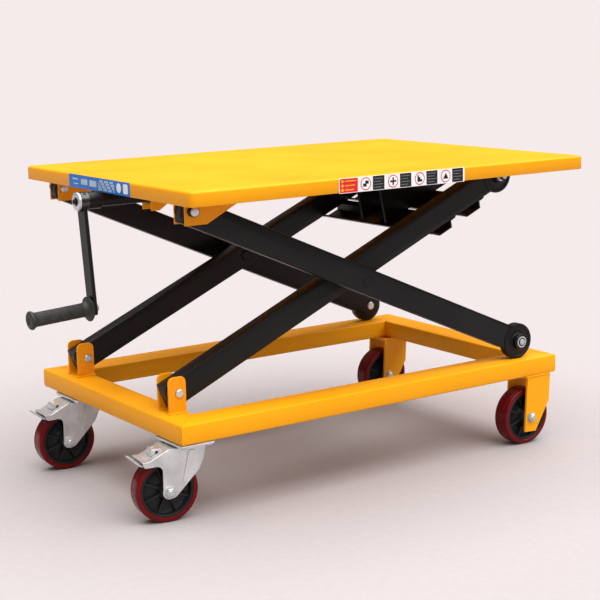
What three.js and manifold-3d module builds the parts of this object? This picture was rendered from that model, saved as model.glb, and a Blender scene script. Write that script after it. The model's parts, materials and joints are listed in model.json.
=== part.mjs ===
// Scissor lift table on casters, raised by a hand-cranked lead screw.
// Millimetres, +Z up, -X at the crank end. The floor is z = 0.
import * as THREE from "three";
import { mergeVertices } from "three/addons/utils/BufferGeometryUtils.js";
import Module from "manifold-3d";

const wasm = await Module();
wasm.setup();

// ---------------------------------------------------------------- driving dimensions
// Base frame: four rectangular tubes, mitred at the corners.
const BASE = { length: 950, width: 600, top: 195, depth: 40, railWidth: 70, endWidth: 64, wall: 3, corner: 5 };
// Table top: a folded sheet with a skirt, further out at the end away from the crank.
const DECK = { length: 970, width: 700, top: 633, skirt: 28, sheet: 4, corner: 13, offset: 17.5 };

// Scissor linkage: both pivots are at the crank end, both rollers at the other end.
const RUN_GAP = 0.3; // between two pieces that touch or slide
const ROLLER_RADIUS = 38.5;
const PIVOT_X = -429;
const ROLLER_X = 381;
const LOWER_AXIS_Z = BASE.top + RUN_GAP + ROLLER_RADIUS;
const UPPER_AXIS_Z = DECK.top - DECK.sheet - RUN_GAP - ROLLER_RADIUS;
const SPREAD = ROLLER_X - PIVOT_X;
const RISE = UPPER_AXIS_Z - LOWER_AXIS_Z;
const ARM_LENGTH = Math.hypot(SPREAD, RISE); // pivot axis to roller axis
const ARM_ANGLE = Math.atan2(RISE, SPREAD);

// Arms: rectangular tubes. y values are distances from the middle plane, on both sides.
const ARM = { height: 52, wall: 3, corner: 4, overhang: 20, tongueHeight: 44, tongueStart: 110 };
const OUTER_ARM_UNDERCUT = 14; // the outer arm's end slopes back under its pivot, to stay inside the bracket
const INNER = { near: 177.5, far: 211.5, tongue: 188.7, roller: 190 };
const OUTER = { near: 250.5, far: 280.5, tongue: 260.7, roller: 262 };
const COPE_RADIUS = ROLLER_RADIUS + 2; // the tube's end is cut round the roller
const ROLLER_HUB = { radius: 17, length: 11 };

// Pins and shafts.
const PIN_RADIUS = 9;
const CENTRE_PIN_RADIUS = 10;
const ROLLER_AXLE_RADIUS = 9.5;
const WHEEL_BOLT_RADIUS = 6;
const SCREW_RADIUS = 12;
const FIT = 0.35; // radial clearance of a faceted bore round its pin
const PIN_PROUD = 3.5; // how far a pin's end stands out of its bracket
const LONG_PIN_PROUD = 14; // the upper pins and axles stand further out, on the outer side only

// Brackets.
const EAR = { thickness: 5, left: -453, right: -415, top: 267, corner: 11, inner: 171, outer: 218 };
const BRACKET = { thickness: 5, inner: 244, outer: 287, left: -443, bottom: 563.5, web: 4 };
const SCREW_BRACKET = { outer: 20, thickness: 4, left: -366, right: -240, bottom: 560, web: 4 };

// Crank: hub, bar leaning towards the base, and a grip square to the bar.
const CRANK = { hubFront: -522, hubRadius: 18.5, radius: 214.4, lean: THREE.MathUtils.degToRad(3.45) };
const HUB = { collarBack: -499, shoulderBack: -470, shoulderRadius: 17, sleeveEnd: -367, sleeveRadius: 14, socket: 64, barX: -509.5 };
const CRANK_BAR = { width: 30, thickness: 8, overhang: 13 };
const GRIP = { length: 133, radius: 14.3, guardRadius: 25, endRadius: 18.5, endFlat: 13.5, spindleRadius: 5 };
const SCREW_END = 478;

// Lifting yoke and cross-members, measured back from the upper roller axis along the inner arm.
const YOKE = { inside: 38, thickness: 8, length: 204, slope: 17 };
const CROSS_MEMBERS = [
  { name: "upper", start: 63, end: 130 },
  { name: "lower", start: 150, end: 213 },
];
const CROSS_MEMBER = { half: 206, depth: 19, sheet: 4, flange: 14 };

// Casters.
const WHEEL = { radius: 62.5, half: 18.5, coreRadius: 52.5, hubRadius: 17, hubHalf: 26, facets: 28 };
const FIXED = { x: 404, inside: 27, plate: 5 };
const SWIVEL = { x: -438, trail: 45, inside: 27, sheet: 3.5, plateLength: 76, plateWidth: 105 };
const CROWN_TOP = 146.3;

// ---------------------------------------------------------------- colours and finishes
const paint = (color, roughness = 0.4) => ({ color, roughness, metalness: 0 });
const metal = (color, roughness) => ({ color, roughness, metalness: 1 });
const FINISH = {
  yellow: paint(0xf5b21a),
  black: paint(0x1c1e1e, 0.5),
  zinc: metal(0xc8cacb, 0.35),
  steel: metal(0xa8a8a4, 0.3),
  tyre: paint(0x8a1a1e, 0.55),
  core: paint(0x26282a, 0.6),
  grip: paint(0x3c4040, 0.7),
};

// ---------------------------------------------------------------- solids
// A closed geometry as a solid, and a solid as a geometry.
function solid(geometry) {
  const bare = geometry.index ? geometry.toNonIndexed() : geometry.clone();
  bare.deleteAttribute("normal");
  bare.deleteAttribute("uv");
  const merged = mergeVertices(bare, 1e-4);
  const triVerts = new Uint32Array(merged.index.array);
  const vertProperties = merged.attributes.position.array;
  return new wasm.Manifold(new wasm.Mesh({ numProp: 3, vertProperties, triVerts }));
}

function geometryOf(body) {
  const mesh = body.getMesh();
  const geometry = new THREE.BufferGeometry();
  geometry.setAttribute("position", new THREE.BufferAttribute(mesh.vertProperties, 3));
  geometry.setIndex(new THREE.BufferAttribute(mesh.triVerts, 1));
  return geometry;
}

const join = (...bodies) => bodies.reduce((whole, body) => whole.add(body));
const cut = (body, ...tools) => tools.reduce((whole, tool) => whole.subtract(tool), body);

// Points of an arc, angles in degrees.
function arc(x, y, radius, from, to, steps) {
  return Array.from({ length: steps + 1 }, (_, i) => {
    const angle = THREE.MathUtils.degToRad(from + ((to - from) * i) / steps);
    return [x + radius * Math.cos(angle), y + radius * Math.sin(angle)];
  });
}

// Points of a rectangle with rounded corners, anticlockwise.
function roundedBox(left, right, low, high, radius, steps = 3) {
  return [
    ...arc(right - radius, low + radius, radius, -90, 0, steps),
    ...arc(right - radius, high - radius, radius, 0, 90, steps),
    ...arc(left + radius, high - radius, radius, 90, 180, steps),
    ...arc(left + radius, low + radius, radius, 180, 270, steps),
  ];
}

function extruded(points, depth) {
  const shape = new THREE.Shape(points.map(([x, y]) => new THREE.Vector2(x, y)));
  return new THREE.ExtrudeGeometry(shape, { depth, bevelEnabled: false });
}

// An outline in x and y, from z = low to high.
const slab = (points, low, high) => solid(extruded(points, high - low).translate(0, 0, low));

// An outline in x and z, from y = low to high.
const plate = (points, low, high) =>
  solid(extruded(points, high - low).rotateX(Math.PI / 2).translate(0, high, 0));

// An outline in y and z, from x = low to high.
const ALONG_X = new THREE.Matrix4().makeBasis(
  new THREE.Vector3(0, 1, 0),
  new THREE.Vector3(0, 0, 1),
  new THREE.Vector3(1, 0, 0),
);
const bar = (points, low, high) =>
  solid(extruded(points, high - low).applyMatrix4(ALONG_X).translate(low, 0, 0));

// Round bars along Y and along X.
const rodY = (radius, low, high, x, z, segments = 16) =>
  solid(new THREE.CylinderGeometry(radius, radius, high - low, segments).translate(x, (low + high) / 2, z));
const rodX = (radius, low, high, y, z, segments = 16) =>
  solid(
    new THREE.CylinderGeometry(radius, radius, high - low, segments)
      .rotateZ(Math.PI / 2)
      .translate((low + high) / 2, y, z),
  );

// A turned piece about the Y axis. The profile is [radius, y] pairs, outside surface running up Y.
const turned = (profile, segments) =>
  new THREE.LatheGeometry(profile.map(([r, y]) => new THREE.Vector2(r, y)), segments);

const closed = (profile) => [...profile, profile[0]];

// ---------------------------------------------------------------- assembling
// The base frame's middle is off the part's origin, because the crank reaches out past one end.
const gripEnd =
  HUB.barX -
  (CRANK_BAR.thickness / 2 + GRIP.length) * Math.cos(CRANK.lean) +
  (CRANK.radius - GRIP.endFlat) * Math.sin(CRANK.lean);
const deckEnd = DECK.offset + DECK.length / 2;

const liftTable = new THREE.Group();
liftTable.position.x = -(gripEnd + deckEnd) / 2;

function group(x, y, z) {
  const made = new THREE.Group();
  made.position.set(x, y, z);
  liftTable.add(made);
  return made;
}

// Adds a solid or a geometry to a group as one named mesh. side = -1 mirrors it to the -Y side.
function add(parent, name, shape, finish, side = 1) {
  const geometry = shape.isBufferGeometry ? shape : geometryOf(shape);
  const mesh = new THREE.Mesh(geometry, new THREE.MeshStandardMaterial(FINISH[finish]));
  mesh.name = name;
  mesh.scale.y = side;
  parent.add(mesh);
  return mesh;
}

// The casters stand further in on the left side. swivelTurn is in degrees from straight back.
const SIDES = [
  { side: 1, name: "left", fixedY: 240, swivelY: 190.5, swivelTurn: 3 },
  { side: -1, name: "right", fixedY: -267, swivelY: -247.5, swivelTurn: 9 },
];

function addPair(parent, name, shape, finish) {
  for (const { side, name: hand } of SIDES) add(parent, `${name}_${hand}`, shape, finish, side);
}

// ---------------------------------------------------------------- base frame
const frame = group(0, 0, 0);

function tubeSection(low, high, bottom, top, wall, radius) {
  return {
    outside: roundedBox(low, high, bottom, top, radius, 2),
    inside: roundedBox(low + wall, high - wall, bottom + wall, top - wall, radius / 2, 1),
  };
}

// Long rails and end members, mitred in plan.
function baseFrame() {
  const x = BASE.length / 2;
  const y = BASE.width / 2;
  const bottom = BASE.top - BASE.depth;
  const rail = tubeSection(y - BASE.railWidth, y, bottom, BASE.top, BASE.wall, BASE.corner);
  const railMitre = [
    [-x, y],
    [-x + BASE.endWidth, y - BASE.railWidth],
    [x - BASE.endWidth, y - BASE.railWidth],
    [x, y],
  ];
  const railBody = cut(bar(rail.outside, -x, x), bar(rail.inside, -x - 1, x + 1));
  addPair(frame, "base_rail", railBody.intersect(slab(railMitre, bottom - 1, BASE.top + 1)), "yellow");

  const gap = 0.5; // along Y between the mitred faces
  const end = tubeSection(x - BASE.endWidth, x, bottom, BASE.top, BASE.wall, BASE.corner);
  const endMitre = [
    [x, -y + gap],
    [x, y - gap],
    [x - BASE.endWidth, y - BASE.railWidth - gap],
    [x - BASE.endWidth, -y + BASE.railWidth + gap],
  ];
  const endBody = cut(plate(end.outside, -y, y), plate(end.inside, -y - 1, y + 1));
  const member = endBody.intersect(slab(endMitre, bottom - 1, BASE.top + 1));
  add(frame, "base_end_rear", member, "yellow");
  add(frame, "base_end_crank", geometryOf(member).rotateZ(Math.PI), "yellow");
}
baseFrame();

// Two welded ears and a pin for each inner arm.
function lowerPivots() {
  const { left, right, top, corner, thickness, inner, outer } = EAR;
  const foot = BASE.top + RUN_GAP;
  const outline = [
    [left, foot],
    [right, foot],
    ...arc(right - corner, top - corner, corner, 0, 90, 4),
    ...arc(left + corner, top - corner, corner, 90, 180, 4),
  ];
  const hole = rodY(PIN_RADIUS + FIT, inner - 1, outer + 1, PIVOT_X, LOWER_AXIS_Z);
  addPair(frame, "lower_ear_inner", cut(plate(outline, inner, inner + thickness), hole), "yellow");
  addPair(frame, "lower_ear_outer", cut(plate(outline, outer - thickness, outer), hole), "yellow");
  addPair(frame, "lower_pivot_pin", pivotPin(inner, outer, LOWER_AXIS_Z), "zinc");
}

// A plain pin with slightly domed ends, from bracket face to bracket face and a little proud.
function pivotPin(inner, outer, z, proud = PIN_PROUD) {
  const low = inner - PIN_PROUD;
  const high = outer + proud;
  const profile = [
    [0, low],
    [PIN_RADIUS - 2, low],
    [PIN_RADIUS, low + 1.2],
    [PIN_RADIUS, high - 1.2],
    [PIN_RADIUS - 2, high],
    [0, high],
  ];
  return turned(profile, 16).translate(PIVOT_X, 0, z);
}
lowerPivots();

// ---------------------------------------------------------------- scissor arms
// In an arm's own frame the pivot axis is the origin and +X runs along the arm to the roller axis.
const innerArms = group(PIVOT_X, 0, LOWER_AXIS_Z);
innerArms.rotation.y = -ARM_ANGLE;
const outerArms = group(PIVOT_X, 0, UPPER_AXIS_Z);
outerArms.rotation.y = ARM_ANGLE;

// A tube with a bush at each pivot, and a tongue that carries the roller's axle beside the roller.
function armBody({ near, far, tongue }, undercut = 0) {
  const half = ARM.height / 2;
  const section = tubeSection(near, far, -half, half, ARM.wall, ARM.corner);
  const end = ARM_LENGTH - COPE_RADIUS / 2;
  const tube = cut(
    bar(section.outside, -ARM.overhang, end),
    bar(section.inside, -ARM.overhang - 1, end + 1),
    rodY(COPE_RADIUS, near - 1, far + 1, ARM_LENGTH, 0, 28),
  );
  const reach = ARM.tongueHeight / 2;
  const tongueOutline = [
    [ARM_LENGTH - ARM.tongueStart, -reach],
    ...arc(ARM_LENGTH, 0, reach, -90, 90, 8),
    [ARM_LENGTH - ARM.tongueStart, reach],
  ];
  const bushes = [
    { x: 0, bore: PIN_RADIUS },
    { x: ARM_LENGTH / 2, bore: CENTRE_PIN_RADIUS },
  ];
  const body = join(
    tube,
    plate(tongueOutline, near, tongue),
    ...bushes.map(({ x, bore }) => rodY(bore + 6, near + 1, far - 1, x, 0)),
  );
  const sloped = [
    [-ARM.overhang - 1, half + 1],
    [-ARM.overhang, half],
    [-ARM.overhang + undercut, -half],
    [-ARM.overhang + undercut, -half - 1],
    [-ARM.overhang - 1, -half - 1],
  ];
  const trimmed = undercut ? cut(body, plate(sloped, near - 1, far + 1)) : body;
  return cut(
    trimmed,
    ...bushes.map(({ x, bore }) => rodY(bore + FIT, near - 1, far + 1, x, 0)),
    rodY(ROLLER_AXLE_RADIUS + FIT, near - 1, far + 1, ARM_LENGTH, 0),
  );
}

// A plain steel roller with a hub standing out on its outer side.
function roller(low, high) {
  const bore = ROLLER_AXLE_RADIUS + FIT;
  const edge = 1.5;
  const profile = closed([
    [bore, low],
    [ROLLER_RADIUS - edge, low],
    [ROLLER_RADIUS, low + edge],
    [ROLLER_RADIUS, high - edge],
    [ROLLER_RADIUS - edge, high],
    [ROLLER_HUB.radius, high],
    [ROLLER_HUB.radius, high + ROLLER_HUB.length],
    [bore, high + ROLLER_HUB.length],
  ]);
  return turned(profile, 24).translate(ARM_LENGTH, 0, 0);
}

const rollerAxle = (low, high) => rodY(ROLLER_AXLE_RADIUS, low, high, ARM_LENGTH, 0);

function scissor() {
  addPair(innerArms, "inner_arm", armBody(INNER), "black");
  addPair(outerArms, "outer_arm", armBody(OUTER, OUTER_ARM_UNDERCUT), "black");
  addPair(innerArms, "upper_roller", roller(INNER.roller, INNER.far), "black");
  addPair(outerArms, "lower_roller", roller(OUTER.roller, OUTER.far), "black");
  addPair(innerArms, "upper_roller_axle", rollerAxle(INNER.near - PIN_PROUD, INNER.far + ROLLER_HUB.length + LONG_PIN_PROUD), "zinc");
  addPair(outerArms, "lower_roller_axle", rollerAxle(OUTER.near - PIN_PROUD, OUTER.far + ROLLER_HUB.length + PIN_PROUD), "zinc");

  // The centre pin is fixed in the outer arm and turns in the inner one, with a spacing collar between.
  const collar = 16;
  const gap = 0.4;
  const profile = [
    [0, INNER.near - PIN_PROUD],
    [CENTRE_PIN_RADIUS, INNER.near - PIN_PROUD],
    [CENTRE_PIN_RADIUS, INNER.far + gap],
    [collar, INNER.far + gap],
    [collar, OUTER.near - gap],
    [CENTRE_PIN_RADIUS, OUTER.near - gap],
    [CENTRE_PIN_RADIUS, OUTER.far + 0.8],
    [0, OUTER.far + 0.8],
  ];
  addPair(outerArms, "centre_pivot_pin", turned(profile, 16).translate(ARM_LENGTH / 2, 0, 0), "black");
}
scissor();

// Folded channels under the inner arms, and the yoke plates that stand on them.
function liftingYoke() {
  const underside = -ARM.height / 2 - RUN_GAP;
  const floor = underside - CROSS_MEMBER.depth;
  const sheet = CROSS_MEMBER.sheet;
  for (const { name, start, end } of CROSS_MEMBERS) {
    // Outside of the fold, then back along its inside: a long chamfer, a steep side and a flange.
    const fold = [
      [ARM_LENGTH - end, underside],
      [ARM_LENGTH - end + 22, floor],
      [ARM_LENGTH - start - 4, floor],
      [ARM_LENGTH - start, underside - sheet],
      [ARM_LENGTH - start + CROSS_MEMBER.flange, underside - sheet],
      [ARM_LENGTH - start + CROSS_MEMBER.flange, underside],
      [ARM_LENGTH - start - sheet, underside],
      [ARM_LENGTH - start - 4 - sheet, floor + sheet],
      [ARM_LENGTH - end + 22 + sheet / 2, floor + sheet],
      [ARM_LENGTH - end + sheet + 2, underside],
    ];
    add(innerArms, `cross_member_${name}`, plate(fold, -CROSS_MEMBER.half, CROSS_MEMBER.half), "black");
  }
  const eye = 28;
  const outline = [
    [ARM_LENGTH - YOKE.length, -ARM.height / 2],
    [ARM_LENGTH, -ARM.height / 2],
    ...arc(ARM_LENGTH, 0, eye, -60, 90, 8),
    [ARM_LENGTH - YOKE.length + YOKE.slope, 52],
  ];
  const hole = rodY(ROLLER_AXLE_RADIUS + FIT, YOKE.inside - 1, YOKE.inside + YOKE.thickness + 1, ARM_LENGTH, 0);
  const body = cut(plate(outline, YOKE.inside, YOKE.inside + YOKE.thickness), hole);
  addPair(innerArms, "yoke_plate", body, "black");
}
liftingYoke();

// ---------------------------------------------------------------- table top and its brackets
const table = group(0, 0, 0);

function deck() {
  const left = DECK.offset - DECK.length / 2;
  const right = DECK.offset + DECK.length / 2;
  const half = DECK.width / 2;
  const inset = DECK.sheet;
  const outside = roundedBox(left, right, -half, half, DECK.corner, 4);
  const inside = roundedBox(left + inset, right - inset, -half + inset, half - inset, DECK.corner - inset, 4);
  const bottom = DECK.top - DECK.skirt;
  const sheet = slab(outside, bottom, DECK.top);
  add(table, "table_deck", cut(sheet, slab(inside, bottom - 1, DECK.top - DECK.sheet)), "yellow");
}
deck();

// Two cheeks and the web that joins them under the deck. The outline is in x and z.
function foldedBracket(cheek, faces, { thickness, web }) {
  const top = DECK.top - DECK.sheet - RUN_GAP;
  const xs = cheek.map(([x]) => x);
  const webOutline = roundedBox(Math.min(...xs), Math.max(...xs), faces[0], faces[1], 1, 1);
  return join(
    slab(webOutline, top - web, top),
    plate(cheek, faces[0], faces[0] + thickness),
    plate(cheek, faces[1] - thickness, faces[1]),
  );
}

function upperPivots() {
  const top = DECK.top - DECK.sheet - RUN_GAP;
  const outline = [
    [BRACKET.left, top],
    [BRACKET.left, BRACKET.bottom],
    [BRACKET.left + 46, BRACKET.bottom],
    [BRACKET.left + 110, 595],
    [BRACKET.left + 176, top],
  ];
  const hole = rodY(PIN_RADIUS + FIT, BRACKET.inner - 1, BRACKET.outer + 1, PIVOT_X, UPPER_AXIS_Z);
  const body = cut(foldedBracket(outline, [BRACKET.inner, BRACKET.outer], BRACKET), hole);
  addPair(table, "upper_bracket", body, "yellow");
  addPair(table, "upper_pivot_pin", pivotPin(BRACKET.inner, BRACKET.outer, UPPER_AXIS_Z, LONG_PIN_PROUD), "zinc");
}
upperPivots();

// Bracket round the lead screw behind the crank's sleeve, and the block that hangs in it on two bosses.
function screwBearing() {
  const top = DECK.top - DECK.sheet - RUN_GAP;
  const { outer, thickness, left, right, bottom } = SCREW_BRACKET;
  const outline = [
    [left, top],
    [left, bottom],
    [left + 18, bottom],
    [right, top],
  ];
  const boss = { x: -346, radius: 6, proud: 2.5 };
  const bossHole = rodY(boss.radius + FIT, -outer - 1, outer + 1, boss.x, UPPER_AXIS_Z, 12);
  add(table, "screw_bracket", cut(foldedBracket(outline, [-outer, outer], SCREW_BRACKET), bossHole), "yellow");

  const side = outer - thickness - RUN_GAP;
  const block = roundedBox(left + 3, left + 33, UPPER_AXIS_Z - 17, UPPER_AXIS_Z + 19, 3, 1);
  const housing = join(
    plate(block, -side, side),
    rodY(boss.radius, side - 1, outer + boss.proud, boss.x, UPPER_AXIS_Z, 12),
    rodY(boss.radius, -outer - boss.proud, 1 - side, boss.x, UPPER_AXIS_Z, 12),
  );
  add(table, "bearing_housing", cut(housing, rodX(SCREW_RADIUS + FIT, left, left + 36, 0, UPPER_AXIS_Z)), "black");
}
screwBearing();

// ---------------------------------------------------------------- lead screw and crank
function turnedX(profile, segments) {
  return turned(profile, segments).rotateZ(-Math.PI / 2);
}

function leadScrew() {
  const start = HUB.sleeveEnd - HUB.socket;
  add(table, "lead_screw", rodX(SCREW_RADIUS, start, SCREW_END, 0, UPPER_AXIS_Z), "steel");

  const { hubFront, hubRadius } = CRANK;
  const profile = [
    [0, hubFront + 4],
    [8, hubFront + 4],
    [8, hubFront],
    [hubRadius - 1.5, hubFront],
    [hubRadius, hubFront + 1.5],
    [hubRadius, HUB.collarBack],
    [HUB.shoulderRadius, HUB.collarBack],
    [HUB.shoulderRadius, HUB.shoulderBack],
    [HUB.sleeveRadius, HUB.shoulderBack],
    [HUB.sleeveRadius, HUB.sleeveEnd],
    [SCREW_RADIUS + FIT, HUB.sleeveEnd],
    [SCREW_RADIUS + FIT, start - 1],
    [0, start - 1],
  ];
  add(table, "crank_hub", turnedX(profile, 20).translate(0, 0, UPPER_AXIS_Z), "zinc");

  const nutLow = ROLLER_X - 24;
  const nutHigh = ROLLER_X + 24;
  const trunnion = YOKE.inside + YOKE.thickness + PIN_PROUD;
  const nut = join(
    rodX(19, nutLow, nutHigh, 0, UPPER_AXIS_Z),
    rodY(ROLLER_AXLE_RADIUS, -trunnion, trunnion, ROLLER_X, UPPER_AXIS_Z),
    rodY(16, -YOKE.inside + 0.5, YOKE.inside - 0.5, ROLLER_X, UPPER_AXIS_Z),
  );
  add(table, "drive_nut", cut(nut, rodX(SCREW_RADIUS + 0.5, nutLow - 1, nutHigh + 1, 0, UPPER_AXIS_Z)), "steel");
}
leadScrew();

// The crank's own frame: the bar hangs along -Z and the grip stands out along -X.
function crank() {
  const handle = group(HUB.barX, 0, UPPER_AXIS_Z);
  handle.rotation.y = -CRANK.lean;
  const { width, thickness, overhang } = CRANK_BAR;
  const half = width / 2;
  const tip = -CRANK.radius - overhang;
  const outline = [
    [half, -8],
    [-half, -8],
    ...arc(-half + 7, tip + 7, 7, 180, 270, 3),
    ...arc(half - 7, tip + 7, 7, 270, 360, 3),
  ];
  const flat = cut(
    bar(outline, -thickness / 2, thickness / 2),
    rodX(CRANK.hubRadius + 0.5, -thickness, thickness, 0, 0, 32),
  );
  const face = -thickness / 2;
  const spindle = rodX(GRIP.spindleRadius, face - GRIP.length + 14, 0, 0, -CRANK.radius, 16);
  add(handle, "crank_arm", join(flat, spindle), "black");

  // Radius and distance from the bar's face, from the closed outer end back to the bore's floor.
  const { length, radius, guardRadius, endRadius, endFlat } = GRIP;
  const bore = GRIP.spindleRadius + FIT;
  const profile = [
    [0, length],
    [endFlat, length],
    [endRadius, length - 4],
    [endRadius, length - 8],
    [radius, length - 12],
    [radius + 0.6, 8],
    [guardRadius, 5],
    [guardRadius, RUN_GAP],
    [bore, RUN_GAP],
    [bore, length - 12],
    [0, length - 12],
  ];
  const grip = turned(profile.reverse(), 20).rotateZ(Math.PI / 2).translate(face, 0, -CRANK.radius);
  add(handle, "crank_grip", grip, "grip");
}
crank();

// ---------------------------------------------------------------- wheels and casters
// Wheel pieces turn about Y through their own origin.
function tyre() {
  const { radius, half, coreRadius } = WHEEL;
  return turned(
    closed([
      [coreRadius, -half],
      [radius - 4, -half],
      [radius, -half + 4.5],
      [radius, half - 4.5],
      [radius - 4, half],
      [coreRadius, half],
    ]),
    WHEEL.facets,
  );
}

function wheelCore() {
  const { half, coreRadius, hubRadius, hubHalf } = WHEEL;
  const rim = coreRadius - RUN_GAP;
  const web = half - 8;
  const side = [
    [WHEEL_BOLT_RADIUS + FIT, hubHalf],
    [hubRadius, hubHalf],
    [hubRadius, web],
    [rim, web],
  ];
  const otherSide = side.map(([r, y]) => [r, -y]);
  return turned(closed([...otherSide, ...side.reverse()]), WHEEL.facets);
}

function addWheel(parent, name, x, y) {
  add(parent, `tyre_${name}`, tyre(), "tyre").position.set(x, y, WHEEL.radius);
  add(parent, `wheel_core_${name}`, wheelCore(), "core").position.set(x, y, WHEEL.radius);
}

// An axle bolt along Y through y = 0, with a hexagon at both ends.
function wheelBolt(halfGrip) {
  const head = 7;
  const hexagon = 10;
  return join(
    rodY(WHEEL_BOLT_RADIUS, -halfGrip - 1, halfGrip + 1, 0, 0, 14),
    rodY(hexagon, halfGrip + RUN_GAP, halfGrip + head, 0, 0, 6),
    rodY(hexagon, -halfGrip - head, -halfGrip - RUN_GAP, 0, 0, 6),
  );
}

// Welded fork of two plates under each rear corner of the base frame.
function fixedCasters() {
  const { x, inside, plate: thickness } = FIXED;
  const outsideFace = inside + thickness;
  const top = BASE.top - BASE.depth - RUN_GAP;
  const outline = [
    [-10, top],
    [-17, 32],
    [14, 30],
    [52.5, 94],
    [56, top],
  ];
  const plates = [-outsideFace, inside].map((low) => plate(outline, low, low + thickness));
  const mount = slab(roundedBox(-12, 56, -outsideFace, outsideFace, 1, 1), top - 5, top);
  const boltHole = rodY(WHEEL_BOLT_RADIUS + FIT, -outsideFace - 1, outsideFace + 1, 0, WHEEL.radius);
  const fork = cut(join(mount, ...plates), boltHole);
  for (const { name, fixedY } of SIDES) {
    add(frame, `fixed_fork_${name}`, fork, "yellow").position.set(x, fixedY, 0);
    add(frame, `fixed_axle_${name}`, wheelBolt(outsideFace), "zinc").position.set(x, fixedY, WHEEL.radius);
    addWheel(frame, `rear_${name}`, x, fixedY);
  }
}
fixedCasters();

// In a swivel caster's frame the swivel axis is the Z axis and the wheel trails towards -X.
function swivelFork() {
  const { trail, inside, sheet } = SWIVEL;
  const z = WHEEL.radius;
  const leg = [
    [32, CROWN_TOP],
    [-44, CROWN_TOP],
    [-84, 127],
    [-97, 128],
    [-93, 116],
    ...arc(-66, 105, 10, 90, 0, 3),
    ...arc(-trail, z, 14, 180, 320, 5),
    [15, 99],
    [26, 121],
  ];
  const outside = inside + sheet;
  const crown = roundedBox(-44, 32, -outside, outside, 2, 1);
  const hood = [
    [-43, CROWN_TOP],
    [-84, 127],
    [-97, 128],
    [-96, 124.6],
    [-83, 123.4],
    [-43, CROWN_TOP - 4],
  ];
  const body = join(
    slab(crown, CROWN_TOP - 4, CROWN_TOP),
    plate(hood, -outside, outside),
    plate(leg, inside, outside),
    plate(leg, -outside, -inside),
  );
  return cut(body, rodY(WHEEL_BOLT_RADIUS + FIT, -outside - 1, outside + 1, -trail, z));
}

// Pedal blade that comes out under the hood and rises a little towards its tip.
function brakePedal() {
  const half = SWIVEL.inside - 3.5;
  const outline = [
    [-80, 115.5],
    [-98, 117],
    [-112, 128],
    [-112, 132.5],
    [-98, 121.5],
    [-81, 119.5],
  ];
  return plate(outline, -half, half);
}

function swivelCasters() {
  const { x, trail, inside, sheet, plateLength, plateWidth } = SWIVEL;
  const top = BASE.top - BASE.depth - RUN_GAP;
  const mount = join(
    slab(roundedBox(-plateLength / 2, plateLength / 2, -plateWidth / 2, plateWidth / 2, 8, 3), top - 4, top),
    slab(arc(0, 0, 31, 0, 342, 19), CROWN_TOP + RUN_GAP, top - 3),
  );
  for (const { name, swivelY, swivelTurn } of SIDES) {
    add(frame, `swivel_plate_${name}`, mount, "zinc").position.set(x, swivelY, 0);
    const caster = group(x, swivelY, 0);
    caster.rotation.z = -THREE.MathUtils.degToRad(swivelTurn);
    add(caster, `swivel_fork_${name}`, swivelFork(), "zinc");
    add(caster, `brake_pedal_${name}`, brakePedal(), "zinc");
    add(caster, `swivel_axle_${name}`, wheelBolt(inside + sheet), "zinc").position.set(-trail, 0, WHEEL.radius);
    addWheel(caster, `front_${name}`, -trail, 0);
  }
}
swivelCasters();

export default liftTable;
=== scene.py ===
"""Scissor lift table: the looks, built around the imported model.

Shapes are made in millimetres, in the row frame, and become metres when a piece is made.
"""
import json
import math

import bmesh
import bpy
from mathutils import Matrix, Vector


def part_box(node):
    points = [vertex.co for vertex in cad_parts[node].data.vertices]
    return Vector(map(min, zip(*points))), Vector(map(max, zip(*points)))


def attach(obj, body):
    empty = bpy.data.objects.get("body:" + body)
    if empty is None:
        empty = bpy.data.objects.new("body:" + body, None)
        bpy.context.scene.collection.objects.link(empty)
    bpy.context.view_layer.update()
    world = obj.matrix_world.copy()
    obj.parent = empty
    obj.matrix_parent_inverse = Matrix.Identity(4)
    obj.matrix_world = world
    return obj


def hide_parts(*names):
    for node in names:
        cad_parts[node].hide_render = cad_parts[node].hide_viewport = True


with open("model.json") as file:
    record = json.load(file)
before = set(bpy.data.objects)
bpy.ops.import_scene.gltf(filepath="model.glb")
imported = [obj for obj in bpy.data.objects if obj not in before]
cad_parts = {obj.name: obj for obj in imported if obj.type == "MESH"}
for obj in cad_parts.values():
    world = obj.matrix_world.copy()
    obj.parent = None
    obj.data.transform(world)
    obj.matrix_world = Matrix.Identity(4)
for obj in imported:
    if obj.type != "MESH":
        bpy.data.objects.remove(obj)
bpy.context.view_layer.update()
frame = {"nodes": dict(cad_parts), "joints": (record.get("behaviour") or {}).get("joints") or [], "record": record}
MM = 0.001
SIDES = (("left", 1), ("right", -1))


# ---- places taken from the frame
class Box:
    """A CAD node's box at rest, in millimetres."""

    def __init__(self, node):
        low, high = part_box(node)
        self.x0, self.y0, self.z0 = (v / MM for v in low)
        self.x1, self.y1, self.z1 = (v / MM for v in high)
        self.x, self.y, self.z = (low + high) / 2 / MM
        self.near, self.far = sorted((abs(self.y0), abs(self.y1)))    # Y faces from the middle plane


def joint(name):
    """A joint's (position in millimetres, axis)."""
    found = next(j for j in frame["joints"] if j["name"] == name)
    return Vector(found["pos_m"]) / MM, Vector(found["axis"])


def basis(x, y, z, origin):
    return Matrix([(x[i], y[i], z[i], origin[i]) for i in range(3)] + [(0, 0, 0, 1)])


def axes(origin, x_axis, y_axis):
    """Placement with its X and Y along the given axes."""
    x, y = Vector(x_axis).normalized(), Vector(y_axis).normalized()
    return basis(x, y, x.cross(y), origin)


def moved(x, y, z):
    return Matrix.Translation((x, y, z))


def turned(angle, axis):
    return Matrix.Rotation(math.radians(angle), 4, axis)


def placed(name, data):
    """Adds an object to the scene."""
    made = bpy.data.objects.new(name, data)
    bpy.context.scene.collection.objects.link(made)
    return made


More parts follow.
